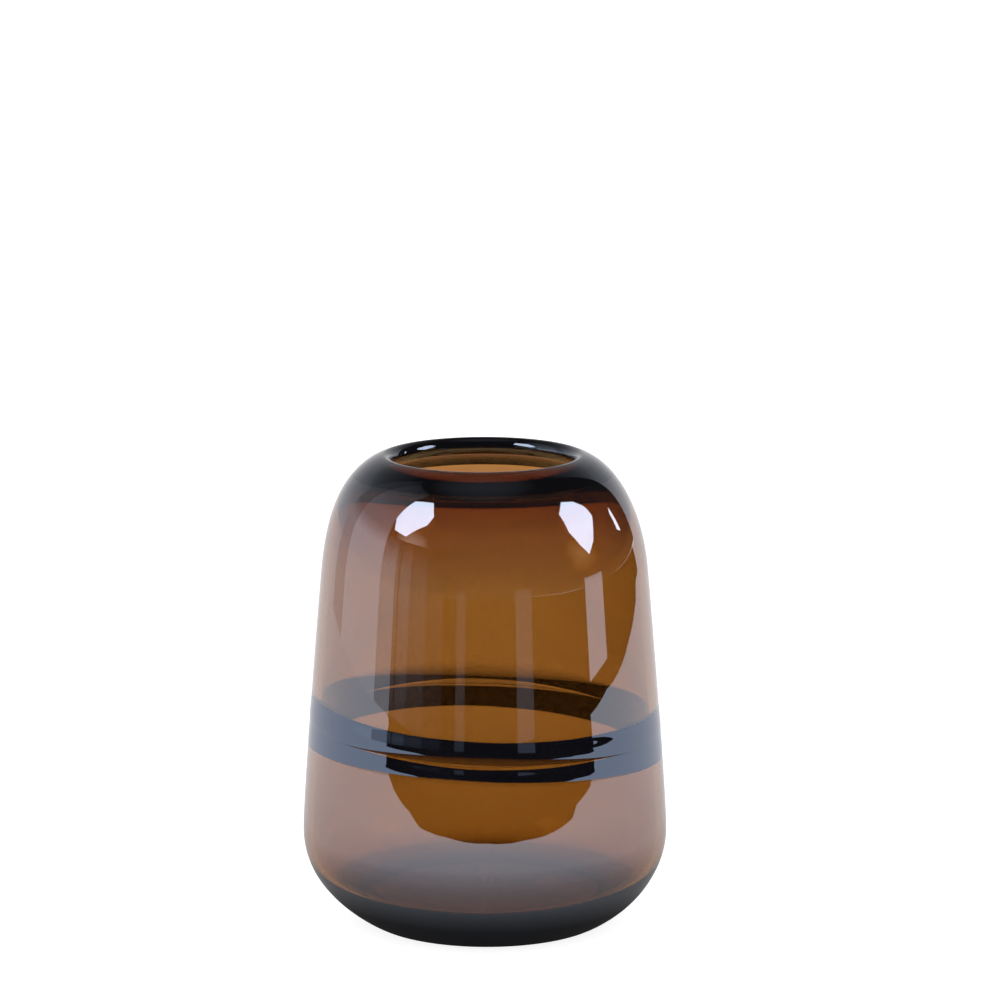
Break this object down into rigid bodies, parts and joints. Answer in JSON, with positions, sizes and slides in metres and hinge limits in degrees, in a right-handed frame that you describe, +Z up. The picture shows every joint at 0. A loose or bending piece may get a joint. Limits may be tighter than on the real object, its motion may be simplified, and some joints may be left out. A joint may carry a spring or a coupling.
{
  "type": "glass vase",
  "caption": "Rounded amber glass vase with a heavy base, a thick dark rolled lip and dark glass trails round its body.",
  "frame": {"origin": "middle of the flat foot, on the surface the vase stands on", "axes": "+Z up along the vase's own axis, -Y towards the viewer, +X to the viewer's right"},
  "size_m": [0.19, 0.19, 0.246],
  "materials": {
    "amber_glass": "polished amber glass with a thin cool lustre",
    "dark_lip_glass": "fire-polished dark glass",
    "dark_trail_glass": "polished dark glass with a cool lustre"
  },
  "bodies": {
    "root": {"vase_body": "amber_glass", "lip_wrap": "dark_lip_glass", "trail_upper_turn": "dark_trail_glass", "trail_lower_turn": "dark_trail_glass"}
  },
  "joints": []
}
